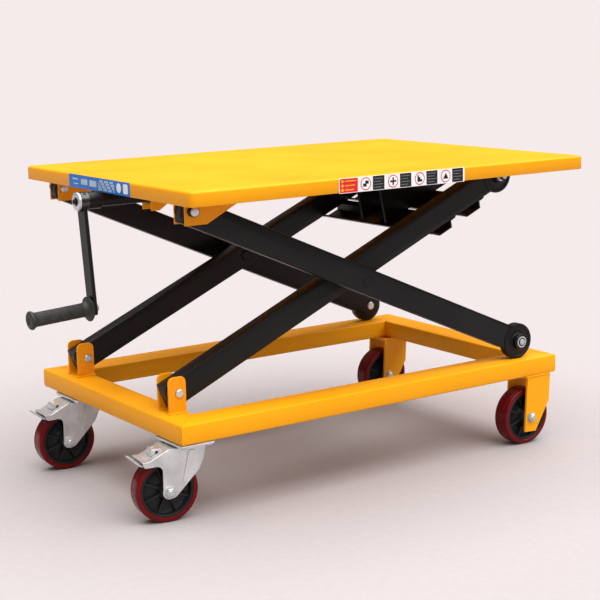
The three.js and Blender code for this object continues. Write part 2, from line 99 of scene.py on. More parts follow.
LOWER_PIVOT = Box("lower_pivot_pin_left")
UPPER_PIVOT = Box("upper_pivot_pin_left")
UPPER_ROLLER = Box("upper_roller_left")
DECK = Box("table_deck")
RAIL = Box("base_rail_left")
END = Box("base_end_crank")
PIVOT_X, ROLLER_X = LOWER_PIVOT.x, UPPER_ROLLER.x
LOW_Z, HIGH_Z = LOWER_PIVOT.z, UPPER_PIVOT.z
ARM_LENGTH = math.hypot(ROLLER_X - PIVOT_X, HIGH_Z - LOW_Z)
INNER = axes((PIVOT_X, 0, LOW_Z), (ROLLER_X - PIVOT_X, 0, HIGH_Z - LOW_Z), (0, 1, 0))
OUTER = axes((PIVOT_X, 0, HIGH_Z), (ROLLER_X - PIVOT_X, 0, LOW_Z - HIGH_Z), (0, 1, 0))
WHEEL_Z = Box("tyre_rear_left").z
AS_DRAWN = Matrix.Identity(4)
ALONG_X = turned(-90, "Z")    # lays the Y axis that shapes are turned about along X
ALONG_Z = turned(90, "X")     # and along Z


# ---- camera, light and floor
# Solved from the photograph: metres, degrees, and millimetres for the lens and sensor.
CAMERA_AT, YAW, PITCH, ROLL = (-1.7095, -2.6097, 0.9259), 34.24, 10.67, -1.198
LENS, SENSOR = 88.67, 36


def make_camera():
    """Stands where the photographer stood, with a slight roll."""
    yaw, pitch, roll = (math.radians(angle) for angle in (YAW, PITCH, ROLL))
    flat = math.cos(pitch)
    forward = Vector((math.sin(yaw) * flat, math.cos(yaw) * flat, -math.sin(pitch)))
    level = Vector((math.cos(yaw), -math.sin(yaw), 0))
    upright = level.cross(forward)
    right = math.cos(roll) * level + math.sin(roll) * upright
    up = -math.sin(roll) * level + math.cos(roll) * upright
    data = bpy.data.cameras.new("camera")
    data.lens, data.sensor_width, data.sensor_fit = LENS, SENSOR, "HORIZONTAL"
    data.clip_start, data.clip_end = 0.05, 400
    camera = placed("camera", data)
    camera.matrix_world = basis(right, up, -forward, CAMERA_AT)
    bpy.context.scene.camera = camera


def sun(name, towards, strength, spread, colour=(1, 1, 1)):
    """Distant soft light that comes from the given direction."""
    data = bpy.data.lights.new(name, "SUN")
    data.energy, data.angle, data.color = strength, math.radians(spread), colour
    light = placed(name, data)
    light.location = Vector(towards) * 3
    light.rotation_euler = (-Vector(towards)).to_track_quat("-Z", "Y").to_euler()


PAPER = (0.913, 0.831, 0.823)


def make_world():
    """Pale paper behind the object; as a light, dim at the horizon and brighter overhead."""
    world = bpy.data.worlds.new("studio")
    world.use_nodes = True
    tree = world.node_tree
    background = tree.nodes["Background"]
    background.inputs["Color"].default_value = (*PAPER, 1)
    place = tree.nodes.new("ShaderNodeTexCoord")
    split = tree.nodes.new("ShaderNodeSeparateXYZ")
    overhead = tree.nodes.new("ShaderNodeMapRange")
    for key, value in (("From Min", 0.15), ("From Max", 0.9), ("To Min", 0.12), ("To Max", 0.60)):
        overhead.inputs[key].default_value = value
    rays = tree.nodes.new("ShaderNodeLightPath")
    choose = tree.nodes.new("ShaderNodeMix")
    choose.data_type = "FLOAT"
    choose.inputs["B"].default_value = 1.0
    link = tree.links.new
    link(place.outputs["Generated"], split.inputs["Vector"])
    link(split.outputs["Z"], overhead.inputs["Value"])
    link(overhead.outputs["Result"], choose.inputs["A"])
    link(rays.outputs["Is Camera Ray"], choose.inputs["Factor"])
    link(choose.outputs["Result"], background.inputs["Strength"])
    bpy.context.scene.world = world


def make_lights():
    sun("overhead", (0.12, -0.16, 0.97), 6.2, 90, (1, 0.985, 0.95))
    sun("front", (-0.12, -0.85, 0.5), 0.40, 60)
    make_world()
    bpy.context.scene.view_settings.view_transform = "Standard"


# ---- materials
class Nodes:
    """A material under construction: node maker, linker and the surface shader."""

    def __init__(self, name):
        self.material = bpy.data.materials.new(name)
        self.material.use_nodes = True
        self.tree = self.material.node_tree
        self.shader = self.tree.nodes["Principled BSDF"]
        self.place = self.new("ShaderNodeTexCoord").outputs["Object"]

    def new(self, kind, **settings):
        node = self.tree.nodes.new(kind)
        for key, value in settings.items():
            setattr(node, key, value)
        return node

    def link(self, source, target):
        self.tree.links.new(source, target)

    def noise(self, scale, detail=3.0, stretch=None):
        """Noise in the piece's own space, scale per metre, stretched along an axis if asked."""
        node = self.new("ShaderNodeTexNoise")
        node.inputs["Scale"].default_value = scale
        node.inputs["Detail"].default_value = detail
        source = self.place
        if stretch:
            mapping = self.new("ShaderNodeMapping")
            mapping.inputs["Scale"].default_value = stretch
            self.link(source, mapping.inputs["Vector"])
            source = mapping.outputs["Vector"]
        self.link(source, node.inputs["Vector"])
        return node.outputs["Fac"]

    def ramp(self, factor, dark, light, start=0.3, end=0.7):
        """Colour running from dark to light as factor runs from start to end."""
        node = self.new("ShaderNodeValToRGB")
        stops = ((start, dark), (end, light))
        for element, (position, colour) in zip(node.color_ramp.elements, stops):
            element.position = position
            element.color = (*colour, 1)
        self.link(factor, node.inputs["Fac"])
        return node.outputs["Color"]

    def spread(self, factor, low, high, start=0.3, end=0.7):
        """Number running from low to high as factor runs from start to end."""
        node = self.new("ShaderNodeMapRange")
        for key, value in (("From Min", start), ("From Max", end), ("To Min", low), ("To Max", high)):
            node.inputs[key].default_value = value
        self.link(factor, node.inputs["Value"])
        return node.outputs["Result"]

    def mix(self, factor, colour, plain):
        """A colour output mixed with one plain colour."""
        node = self.new("ShaderNodeMix", data_type="RGBA")
        colour_a, colour_b, result = node.inputs[6], node.inputs[7], node.outputs[2]
        self.link(factor, node.inputs["Factor"])
        self.link(colour, colour_a)
        colour_b.default_value = (*plain, 1)
        return result

    def times(self, first, second):
        """Product of an output and another output or a number."""
        node = self.new("ShaderNodeMath", operation="MULTIPLY")
        self.link(first, node.inputs[0])
        if isinstance(second, float):
            node.inputs[1].default_value = second
        else:
            self.link(second, node.inputs[1])
        return node.outputs[0]

    def bump(self, height, strength, distance):
        """Adds a bump to whatever bump the shader has."""
        node = self.new("ShaderNodeBump")
        node.inputs["Strength"].default_value = strength
        node.inputs["Distance"].default_value = distance
        self.link(height, node.inputs["Height"])
        previous = self.shader.inputs["Normal"]
        if previous.is_linked:
            self.link(previous.links[0].from_socket, node.inputs["Normal"])
        self.link(node.outputs["Normal"], previous)

    def surface(self, colour, rough, **values):
        """Colour and roughness from nodes, and plain values for other inputs."""
        self.link(colour, self.shader.inputs["Base Color"])
        if rough:
            self.link(rough, self.shader.inputs["Roughness"])
        for key, value in values.items():
            self.shader.inputs[key.replace("_", " ")].default_value = value


DUST = (0.42, 0.38, 0.32)


def paint(name, dark, light, rough=0.38, gloss=0.14, peel=0.10, dust=0.05):
    """Enamel: faint clouding, orange peel, and a little dust on what faces up."""
    n = Nodes(name)
    cloud = n.noise(5.5, 4)
    speck = n.ramp(n.noise(900, 2), (0, 0, 0), (1, 1, 1), 0.70, 0.76)
    split = n.new("ShaderNodeSeparateXYZ")
    n.link(n.new("ShaderNodeNewGeometry").outputs["Normal"], split.inputs["Vector"])
    facing_up = n.spread(split.outputs["Z"], 0.0, 1.0, 0.6, 1.0)
    share = n.times(n.times(facing_up, speck), dust)
    colour = n.mix(share, n.ramp(cloud, dark, light, 0.32, 0.68), DUST)
    n.surface(colour, n.spread(cloud, rough - 0.05, rough + 0.07), Specular_IOR_Level=gloss)
    n.bump(n.noise(260, 2), peel, 0.0006)
    return n.material


def plated(name, dark, light, rough, streak, metallic=1.0):
    """Bright plated or machined steel, with fine streaks and cloudy passivation."""
    n = Nodes(name)
    streaks = n.noise(55, 4, streak)
    colour = n.ramp(n.noise(24, 5), dark, light)
    n.surface(colour, n.spread(streaks, rough - 0.08, rough + 0.1), Metallic=metallic)
    n.bump(streaks, 0.05, 0.0003)
    n.bump(n.noise(420, 2), 0.08, 0.0003)
    return n.material


def moulded(name, dark, light, rough, grain, depth, gloss=0.5):
    """Moulded plastic or rubber with a fine grain."""
    n = Nodes(name)
    worn = n.spread(n.noise(120, 3), rough - 0.07, rough + 0.08)
    n.surface(n.ramp(n.noise(30, 4), dark, light), worn, Specular_IOR_Level=gloss)
    n.bump(n.noise(grain, 3), depth, 0.0005)
    return n.material


def printed(name, dark, light):
    """Printed film: nearly even ink with a satin laminate."""
    n = Nodes(name)
    laminate = n.spread(n.noise(150, 2), 0.28, 0.4)
    n.surface(n.ramp(n.noise(45, 4), dark, light), laminate, Specular_IOR_Level=0.2)
    n.bump(n.noise(500, 2), 0.05, 0.0002)
    return n.material


# name, darker and lighter colour, then what the function asks for
YELLOW = paint("yellow_enamel", (0.85, 0.345, 0.003), (0.89, 0.370, 0.005))
# the same yellow enamel made deeper and more orange: painted shade for the lower ears and upper brackets, not a
# different paint
BRACKET_PAINTED_SHADE_YELLOW = paint("yellow_enamel_painted_shade", (0.79, 0.290, 0.004), (0.84, 0.320, 0.006))
BLACK = paint("black_powder_coat", (0.0045, 0.0045, 0.005), (0.0075, 0.0075, 0.008), 0.36, 0.20, 0.25, 0.06)
ZINC = plated("zinc_plate", (0.47, 0.48, 0.49), (0.74, 0.75, 0.76), 0.34, (6, 6, 0.8), 0.65)
DARK_STEEL = plated("dark_steel", (0.05, 0.05, 0.052), (0.10, 0.10, 0.102), 0.24, (7, 1, 1))
STEEL = plated("bright_steel", (0.42, 0.42, 0.41), (0.58, 0.57, 0.55), 0.28, (9, 1, 1))
TREAD = moulded("polyurethane_tread", (0.105, 0.0025, 0.0035), (0.145, 0.0035, 0.005), 0.22, 260, 0.10, 0.16)
CORE = moulded("wheel_core_plastic", (0.006, 0.007, 0.007), (0.011, 0.012, 0.012), 0.42, 700, 0.20, 0.3)
GRIP = moulded("grip_rubber", (0.020, 0.022, 0.022), (0.032, 0.035, 0.035), 0.52, 900, 0.30, 0.35)
BLUE_INK = printed("label_blue", (0.006, 0.150, 0.52), (0.010, 0.180, 0.60))
WHITE_INK = printed("label_white", (0.74, 0.76, 0.78), (0.84, 0.85, 0.86))
RED_INK = printed("label_red", (0.62, 0.02, 0.02), (0.70, 0.03, 0.03))
BLACK_INK = printed("label_black", (0.010, 0.011, 0.013), (0.018, 0.019, 0.021))
GREY_INK = printed("label_grey", (0.16, 0.17, 0.18), (0.22, 0.23, 0.24))
YELLOW_INK = printed("label_yellow", (0.80, 0.36, 0.02), (0.85, 0.42, 0.03))
PALE_BLUE_INK = printed("label_pale_blue", (0.36, 0.47, 0.62), (0.50, 0.60, 0.72))


# ---- shapes
def polar(radius, angle):
    return radius * math.cos(math.radians(angle)), radius * math.sin(math.radians(angle))


def rounded(points, steps=5):
    """Outline with its corners rounded. A point is (x, y) or (x, y, radius)."""
    out = []
    count = len(points)
    for i, point in enumerate(points):
        here = Vector(point[:2])
        radius = point[2] if len(point) > 2 else 0
        if not radius:
            out.append(tuple(here))
            continue
        before = (Vector(points[i - 1][:2]) - here).normalized()
        after = (Vector(points[(i + 1) % count][:2]) - here).normalized()
        half = before.angle(after) / 2
        reach = radius / math.tan(half)
        centre = here + (before + after).normalized() * (radius / math.sin(half))
        start, end = here + before * reach - centre, here + after * reach - centre
        turn = start.angle_signed(end)
        for k in range(steps + 1):
            a = -turn * k / steps
            c, s = math.cos(a), math.sin(a)
            out.append((centre.x + (start.x * c - start.y * s), centre.y + (start.x * s + start.y * c)))
    return out


def disc(cx, cy, radius, count=28, turn=0.0):
    """Round outline, or a hexagon where count is 6."""
    spokes = (polar(radius, 360 * k / count + turn) for k in range(count))
    return [(cx + a, cy + b) for a, b in spokes]


def block(a, b, low, high, radius=1.0, steps=2):
    """Rectangular outline with round corners."""
    return rounded([(a, low, radius), (b, low, radius), (b, high, radius), (a, high, radius)], steps)


def mirrored(profile, side):
    """A (radius, y) profile, on the other side of the middle plane if side is -1."""
    return [(radius, side * y) for radius, y in profile]


def looped(profile):
    """A profile that ends where it starts, for a ring."""
    return profile + profile[:1]


class Shape:
    """Points and faces of one piece, in millimetres."""

    def __init__(self, place=AS_DRAWN):
        self.place = place
        self.points, self.faces = [], []

    def add(self, points, faces, place=None):
        matrix = self.place @ place if place else self.place
        start = len(self.points)
        self.points += [matrix @ Vector(p) for p in points]
        self.faces += [[start + i for i in face] for face in faces]
        return self

    def extrude(self, outline, low, high, along="Y", place=None):
        """Outline drawn across an axis, swept from low to high along it."""
        lay = {
            "X": lambda a, b, c: (c, a, b),
            "Y": lambda a, b, c: (a, c, b),
            "Z": lambda a, b, c: (a, b, c),
        }[along]
        n = len(outline)
        points = [lay(a, b, low) for a, b in outline] + [lay(a, b, high) for a, b in outline]
        faces = [list(range(n)), list(range(2 * n - 1, n - 1, -1))]
        faces += [[i, n + i, n + (i + 1) % n, (i + 1) % n] for i in range(n)]
        return self.add(points, faces, place)

    def turn(self, profile, segments=64, place=None, flute=0.0, flutes=1):
        """Surface turned about the local Y axis from (radius, y) points, fluted if asked."""
        closed = profile[0] == profile[-1]
        rings = profile[:-1] if closed else profile
        points, starts = [], []
        for radius, y in rings:
            starts.append(len(points))
            if radius == 0:
                points.append((0, y, 0))
                continue
            for k in range(segments):
                wave = max(0.0, math.sin(2 * math.pi * flutes * k / segments))
                x, z = polar(radius - flute * wave, 360 * k / segments)
                points.append((x, y, z))
        faces = []
        pairs = list(zip(range(len(rings)), list(range(1, len(rings))) + ([0] if closed else [])))
        for a, b in pairs:
            for k in range(segments):
                m = (k + 1) % segments
                ring_a = [starts[a]] if rings[a][0] == 0 else [starts[a] + k, starts[a] + m]
                ring_b = [starts[b]] if rings[b][0] == 0 else [starts[b] + m, starts[b] + k]
                if len(ring_a) + len(ring_b) > 2:
                    faces.append(ring_a + ring_b)
        return self.add(points, faces, place)

    def sweep(self, path, radius, sides=8, ripple=0.0, closed=False):
        """Round bead along a path, with ripples as a weld has."""
        path = [Vector(p) for p in path]
        n = len(path)
        points = []
        for i, here in enumerate(path):
            ahead = path[(i + 1) % n] if closed or i < n - 1 else here
            behind = path[i - 1] if closed or i else here
            along = (ahead - behind).normalized()
            side = along.orthogonal() if abs(along.z) > 0.9 else along.cross(Vector((0, 0, 1)))
            side.normalize()
            up = side.cross(along)
            size = radius * (1 + ripple * math.sin(i * 2.1))
            for k in range(sides):
                a, b = polar(size, 360 * k / sides)
                points.append(here + side * a + up * b)
        faces = []
        for i in range(n if closed else n - 1):
            m = (i + 1) % n
            for k in range(sides):
                q = (k + 1) % sides
                faces.append([i * sides + k, i * sides + q, m * sides + q, m * sides + k])
        if not closed:
            faces += [list(range(sides)), [(n - 1) * sides + k for k in range(sides - 1, -1, -1)]]
        return self.add(points, faces)

    def bead(self, start, end, radius, pitch=2.2):
        """Straight weld bead."""
        start, end = Vector(start), Vector(end)
        count = max(3, int((end - start).length / pitch))
        return self.sweep([start.lerp(end, k / count) for k in range(count + 1)], radius, 8, 0.14)

    def ring_bead(self, centre, radius, thickness):
        """Weld round a bush."""
        path = [Vector(centre) + Vector((a, 0, b)) for a, b in disc(0, 0, radius, 40)]
        return self.sweep(path, thickness, 8, 0.14, True)


def dress(name, mesh, body, stands_for, edge, segments=3, angle=32):
    """Makes a mesh a piece: faces outward, smooth, and its edges rounded by edge millimetres."""
    work = bmesh.new()
    work.from_mesh(mesh)
    bmesh.ops.remove_doubles(work, verts=work.verts, dist=1e-6)
    bmesh.ops.recalc_face_normals(work, faces=work.faces)
    work.to_mesh(mesh)
    work.free()
    for polygon in mesh.polygons:
        polygon.use_smooth = True
    made = placed(name, mesh)
    if edge:
        bevel = made.modifiers.new("edges", "BEVEL")
        bevel.width, bevel.segments = edge * MM, segments
        bevel.limit_method, bevel.angle_limit = "ANGLE", math.radians(angle)
        bevel.harden_normals = True
    else:
        mesh.set_sharp_from_angle(angle=math.radians(angle))
    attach(made, body)
    if stands_for:
        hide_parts(*stands_for)


def piece(name, shape, material, body, stands_for=(), edge=0.0, segments=3, angle=32):
    """Makes a piece that rides on a body and may stand for CAD nodes."""
    mesh = bpy.data.meshes.new(name)
    mesh.from_pydata([p * MM for p in shape.points], [], shape.faces)
    mesh.materials.append(material)
    dress(name, mesh, body, stands_for, edge, segments, angle)


BODY_OF = {n: b for b, nodes in frame["record"]["behaviour"]["bodies"].items() for n in nodes}
SLOT_OF = {s["node"]: s["material_slot"] for s in frame["record"]["subparts"]}
FINISH = {"yellow_paint": YELLOW, "black_paint": BLACK, "zinc_plate": ZINC, "bright_steel": STEEL}


def skin(node, edge, material=None):
    """A copy of a CAD node's surface with its flat faces joined and its edges rounded."""
    mesh = frame["nodes"][node].data.copy()
    for attribute in [a for a in mesh.attributes if a.name == "custom_normal"]:
        mesh.attributes.remove(attribute)
    work = bmesh.new()
    work.from_mesh(mesh)
    bmesh.ops.remove_doubles(work, verts=work.verts, dist=2e-6)
    bmesh.ops.dissolve_limit(work, angle_limit=math.radians(1), verts=work.verts, edges=work.edges)
    work.to_mesh(mesh)
    work.free()
    mesh.materials.clear()
    mesh.materials.append(material or FINISH[SLOT_OF[node]])
    dress(node + "_skin", mesh, BODY_OF[node], [node], edge)


# ---- table top
def deck():
    """Folded sheet: a rounded top edge, a plain skirt, and the same fold inside."""
    sheet, fold, inner_fold, corner, flat = 4.0, 5.0, 1.5, 13.0, 27.0
    fold_steps, corner_steps = 6, 8
    under = DECK.z1 - sheet
    outer = [(sheet, DECK.z0), (sheet - 0.6, DECK.z0), (0.5, DECK.z0), (0, DECK.z0 + 0.6)]
    for k in range(fold_steps + 1):
        a, b = polar(fold, 90 * k / fold_steps)
        outer.append((fold - a, DECK.z1 - fold + b))
    outer.append((flat, DECK.z1))
    inner = [(flat, under), (sheet + inner_fold, under), (sheet, under - inner_fold)]
    points, faces = [], []
    for inset, z in outer + inner:
        radius = max(corner - inset, 1.0)
        x0, x1 = DECK.x0 + inset + radius, DECK.x1 - inset - radius
        y0, y1 = DECK.y0 + inset + radius, DECK.y1 - inset - radius
        for cx, cy, start in ((x1, y0, -90), (x1, y1, 0), (x0, y1, 90), (x0, y0, 180)):
            for k in range(corner_steps + 1):
                a, b = polar(radius, start + 90 * k / corner_steps)
                points.append((cx + a, cy + b, z))
    size = 4 * (corner_steps + 1)
    rings = [list(range(i, i + size)) for i in range(0, len(points), size)]
    top, underside = rings[len(outer) - 1], rings[len(outer)]
    for first, second in zip(rings, rings[1:] + rings[:1]):
        if second is not underside:
            for k in range(size):
                m = (k + 1) % size
                faces.append([first[k], first[m], second[m], second[k]])
    shape = Shape().add(points, faces + [top, underside])
    piece("deck_sheet", shape, YELLOW, "table", ["table_deck"], angle=50)


PLATE, INK = 0.35, 0.15    # thickness of a label and of what is printed on it
FRONT, CRANK_END = (DECK.y0, "Y"), (DECK.x0, "X")    # the skirts that face -Y and -X


def stuck(name, outline, face, material, low, high, **edges):
    """Patch on a skirt, from low to high above it."""
    skirt, along = face
    shape = Shape().extrude(outline, skirt - high, skirt - low, along)
    piece(name, shape, material, "table", **edges)


def label_plate(name, start, end, z0, z1, face, material):
    """Thin plate, its back a little inside the skirt."""
    outline = block(start, end, z0, z1, 1.5, 3)
    stuck(name, outline, face, material, -0.05, PLATE, edge=0.1, segments=1)


def flat_mark(name, outline, face, material, layer=0):
    """Printed patch, on the plate or on the layers already printed."""
    lift = PLATE + layer * INK
    stuck(name, outline, face, material, lift, lift + INK)


def side_labels():
    """A row of plain panels on the long skirt: no lettering, only blocks, rings and bars."""
    left, panel = DECK.x0 + 325, 311
    z0, z1 = DECK.z0 - 1.5, DECK.z1 - 0.6
    label_plate("side_label", left, left + panel, z0, z1, FRONT, WHITE_INK)
    inset, middle = 1.0, (z0 + z1) / 2
    red_width, cell, dark, gap = 44, 34, 28, 4.2
    patch = block(left + 1.5, left + red_width, z0 + inset, z1 - inset)
    flat_mark("label_red_block", patch, FRONT, RED_INK)
    for row in range(3):
        z = middle + (1 - row) * 8.4
        bar = block(left + 13, left + red_width - 4 - 3 * row, z - 0.9, z + 0.9, 0.5)
        flat_mark(f"label_red_bar_{row}", bar, FRONT, YELLOW_INK, 1)
        flat_mark(f"label_red_dot_{row}", disc(left + 7.5, z, 2.9, 16), FRONT, YELLOW_INK, 1)
    for k in range(4):
        start = left + red_width + 2 + k * (cell + dark + gap)
        centre = start + cell / 2
        flat_mark(f"label_ring_{k}", disc(centre, middle, 12.6), FRONT, RED_INK)
        flat_mark(f"label_field_{k}", disc(centre, middle, 10.6), FRONT, WHITE_INK, 1)
        symbol(k, centre, middle)
        patch = block(start + cell, start + cell + dark, z0 + inset, z1 - inset)
        flat_mark(f"label_dark_{k}", patch, FRONT, BLACK_INK)
        for row in range(4):
            z = middle + (1.5 - row) * 5.6
            reach = dark - 7 - 4 * (row % 2)
            line = block(start + cell + 3, start + cell + 3 + reach, z - 0.55, z + 0.55, 0.3)
            flat_mark(f"label_line_{k}_{row}", line, FRONT, GREY_INK, 1)


def symbol(kind, cx, cz):
    """Plain geometric mark: a block, a cross, a step or a wedge."""
    shapes = (
        [(-4.5, -3.5), (1, -3.5), (1, 0), (4.5, 0), (4.5, 4), (-1, 4), (-1, 0.5), (-4.5, 0.5)],
        [(-5, -1.2), (-1.2, -1.2), (-1.2, -5), (1.2, -5), (1.2, -1.2), (5, -1.2),
         (5, 1.2), (1.2, 1.2), (1.2, 5), (-1.2, 5), (-1.2, 1.2), (-5, 1.2)],
        [(-4, -4), (4, -4), (4, -1), (1, -1), (1, 2), (-1.5, 2), (-1.5, 4.5), (-4, 4.5)],
        [(-4.5, -3.5), (4.5, -3.5), (0, 4.5)],
    )
    outline = [(cx + 1.5 * x, cz + 1.5 * z) for x, z in shapes[kind]]
    flat_mark(f"label_symbol_{kind}", outline, FRONT, BLACK_INK, 2)


def end_label():
    """Blue plate on the crank-end skirt with plain pale blocks."""
    y0, y1 = -124.0, 138.5
    z0, z1 = DECK.z0 + 0.2, DECK.z1 - 0.8
    middle = (z0 + z1) / 2
    label_plate("end_label", y0, y1, z0, z1, CRANK_END, BLUE_INK)
    bars = ((98, 122, 3, 6), (98, 116, -6, -4), (56, 84, -5, 6), (16, 46, -6, 6))
    for k, (a, b, low, high) in enumerate(bars):
        bar = block(a, b, middle + low, middle + high, 0.6)
        flat_mark(f"end_label_bar_{k}", bar, CRANK_END, PALE_BLUE_INK)
    tile, gap, columns, rows = 4.4, 0.9, 13, 4
    for row in range(rows):
        for column in range(columns):
            if (row * 7 + column * 3) % 4 == 1:    # leaves holes in the pattern
                continue
            a = 8 - column * (tile + gap)
            b = middle + (row - rows / 2) * (tile + gap)
            patch = [(a - tile, b), (a, b), (a, b + tile), (a - tile, b + tile)]
            flat_mark(f"end_label_tile_{row}_{column}", patch, CRANK_END, PALE_BLUE_INK)
    flat_mark("end_label_disc", disc(-78, middle, 9.5), CRANK_END, WHITE_INK)
    square = block(-115, -96, middle - 9.5, middle + 9.5, 3)
    flat_mark("end_label_square", square, CRANK_END, WHITE_INK)


# ---- welds
def base_welds():
    """Mitre seams on the base frame and the seams at the feet of the ears."""
    shape = Shape()
    top, bottom = RAIL.z1, RAIL.z0
    seat, inset = 0.35, 3.0
    for sx, x_out in ((-1, RAIL.x0), (1, RAIL.x1)):
        x_in = x_out - sx * (END.x1 - END.x0)
        # the lower rollers pass over the top of the far corners
        levels = (bottom + seat,) if sx > 0 else (top - seat, bottom + seat)
        for side in (1, -1):
            y_out, y_in = side * RAIL.y1, side * RAIL.y0
            for z in levels:
                shape.bead((x_out - sx * inset, y_out - side * inset, z), (x_in, y_in, z), 0.8)
            shape.bead((x_in, y_in, bottom + inset), (x_in, y_in, top - inset), 1.4)
    for kind in ("inner", "outer"):
        for hand, _ in SIDES:
            ear = Box(f"lower_ear_{kind}_{hand}")
            z = ear.z0 + 0.8
            for y in (ear.y0, ear.y1):
                shape.bead((ear.x0 - 1, y, z), (ear.x1 + 1, y, z), 2.6)
            for x in (ear.x0, ear.x1):
                shape.bead((x, ear.y0, z), (x, ear.y1, z), 2.6)
    for hand, _ in SIDES:
        fork = Box(f"fixed_fork_{hand}")
        z = fork.z1 - 0.4
        for y in (fork.y0, fork.y1):
            shape.bead((fork.x0 + 2, y, z), (fork.x1 - 2, y, z), 1.8)
    piece("base_weld_seams", shape, YELLOW, "base")


def arm_welds():
    """Seams round the pivot bushes, and where the cross-members meet the arms."""
    inner, outer = Shape(INNER), Shape(OUTER)
    bush, centre_bush, flank = 15.0, 11.6, -26.2
    arm_in, arm_out = Box("inner_arm_left"), Box("outer_arm_left")
    for side in (1, -1):
        for shape, arm, open_face in ((inner, arm_in, arm_in.near), (outer, arm_out, arm_out.far)):
            for y in (arm.near, arm.far):
                shape.ring_bead((0, side * y, 0), bush, 0.9)
            shape.ring_bead((ARM_LENGTH / 2, side * open_face, 0), centre_bush, 0.9)
        for start in (63, 130, 150, 213):
            x = ARM_LENGTH - start
            for y in (arm_in.y0, arm_in.y1):
                inner.bead((x - 3, side * y, flank), (x + 3, side * y, flank), 1.2)
    piece("inner_arm_welds", inner, BLACK, "inner_arms")
    piece("outer_arm_welds", outer, BLACK, "outer_arms")


def deck_welds():
    """Seams that hold the brackets to the underside of the deck."""
    shape = Shape()
    for node in ("upper_bracket_left", "upper_bracket_right", "screw_bracket"):
        bracket = Box(node)
        z = bracket.z1 - 0.4
        for y in (bracket.y0, bracket.y1):
            for k in range(3):
                step = (bracket.x1 - bracket.x0 - 20) / 3
                x = bracket.x0 + 8 + k * step
                shape.bead((x, y, z), (x + step * 0.6, y, z), 1.9)
        shape.bead((bracket.x0, bracket.y0 + 2, z), (bracket.x0, bracket.y1 - 2, z), 1.9)
    piece("deck_weld_seams", shape, YELLOW, "table")


# ---- arms, pins and rollers
def arm_ends():
    """Plugs that close the open pivot ends of the arms, with a raised boss on each."""
    overhang, undercut, half, inside, wall, depth, boss = 20.0, 14.0, 26.0, 22.6, 3.2, 2.0, 5.0
    arms = (("inner_arms", INNER, "inner_arm", 0.0), ("outer_arms", OUTER, "outer_arm", undercut))
    for body, place, node, slope in arms:
        for hand, side in SIDES:
            arm = Box(f"{node}_{hand}")
            y0, y1 = sorted((side * (arm.near + wall), side * (arm.far - wall)))
            shape = Shape(place)
            for reach, margin, proud in ((inside, 0, 0.8), (inside - boss, 4.5, 2.2)):
                foot, head = (-overhang + slope * (half - z) / (2 * half) for z in (-reach, reach))
                outline = [(foot - proud, -reach, 1.2), (foot + depth, -reach),
                           (head + depth, reach), (head - proud, reach, 1.2)]
                shape.extrude(rounded(outline, 4), y0 + margin, y1 - margin, "Y")
            piece(f"{node}_plug_{hand}", shape, CORE, body, edge=0.8)


def pin_profile(low, high, radius, dome=2.2):
    """Turned pin with rolled ends."""
    return [
        (0, low), (radius * 0.55, low), (radius * 0.86, low + dome * 0.35), (radius, low + dome),
        (radius, high - dome), (radius * 0.86, high - dome * 0.35), (radius * 0.55, high), (0, high),
    ]


def circlip(radius, y, width=1.2):
    """Profile of a spring ring round a pin."""
    inner, outer, low, high = radius - 0.4, radius + 2.6, y - width / 2, y + width / 2
    return looped([(inner, low), (outer, low), (outer, high), (inner, high)])


def pins():
    """Pivot pins at the foot and under the deck, and on the upper ones black sleeves that paint the shade on their
    shanks.
    """
    for hand, side in SIDES:
        for node, body in (("lower_pivot_pin", "base"), ("upper_pivot_pin", "table")):
            box = Box(f"{node}_{hand}")
            profile = pin_profile(box.y0, box.y1, (box.x1 - box.x0) / 2)
            shape = Shape(moved(box.x, 0, box.z)).turn(profile)
            piece(f"{node}_{hand}_turned", shape, ZINC, body, [f"{node}_{hand}"], angle=40)
        # black sleeve over the zinc shank outside the bracket: painted shade where the shank lies in shadow
        box = Box(f"upper_pivot_pin_{hand}")
        start, end = Box(f"upper_bracket_{hand}").far + 0.2, box.far - 2.4
        ring = [(9.0, start), (10.0, start), (10.3, start + 0.6), (10.3, end - 0.8), (9.8, end), (9.0, end)]
        sleeve = Shape(moved(box.x, 0, box.z)).turn(mirrored(looped(ring), side))
        piece(f"upper_pin_painted_shade_sleeve_{hand}", sleeve, BLACK, "table", angle=35)


def roller(kind, hand, arms):
    """Steel roller with a bored face, its axle end with a spring ring, and the dark cap."""
    node, axle_node = f"{kind}_roller_{hand}", f"{kind}_roller_axle_{hand}"
    box, axle = Box(node), Box(axle_node)
    side = 1 if box.y > 0 else -1
    near, far = box.near, box.far
    rim, hub, bore = 38.5, 17.0, 9.9
    face = far - 11.0
    profile = [
        (bore, near), (rim - 1.6, near), (rim - 0.4, near + 0.6), (rim, near + 1.8), (rim, face - 1.8),
        (rim - 0.4, face - 0.6), (rim - 1.6, face), (rim - 6, face), (rim - 7.2, face - 1.4),
        (hub + 4, face - 1.4), (hub + 1.4, face - 0.4), (hub, face + 1.4), (hub, far - 1.2),
        (hub - 1.2, far), (bore, far), (bore, near),
    ]
    place = moved(box.x, 0, box.z)
    shape = Shape(place).turn(mirrored(profile, side), 72)
    piece(node + "_turned", shape, BLACK, node, [node], angle=30)
    radius = (axle.x1 - axle.x0) / 2
    neck, low, high = radius * 0.70, axle.near, axle.far
    shoulder = high - 4.8
    stem = [(0, low), (radius - 1.4, low), (radius, low + 1.6), (radius, shoulder), (neck, shoulder),
            (neck, high - 1.0), (neck * 0.92, high - 0.35), (neck * 0.6, high), (0, high)]
    end = Shape(place).turn(mirrored(stem, side))
    end.turn(mirrored(circlip(radius, far + 0.9), side))
    piece(axle_node + "_turned", end, ZINC, arms, [axle_node], angle=40)
    low, high = shoulder + 0.1, high - 1.3
    ring = [(neck - 0.2, low), (radius, low), (radius, high - 0.9), (radius - 0.9, high), (neck - 0.2, high)]
    cap = Shape(place).turn(mirrored(looped(ring), side))
    piece(axle_node + "_cap", cap, BLACK, arms, angle=35)


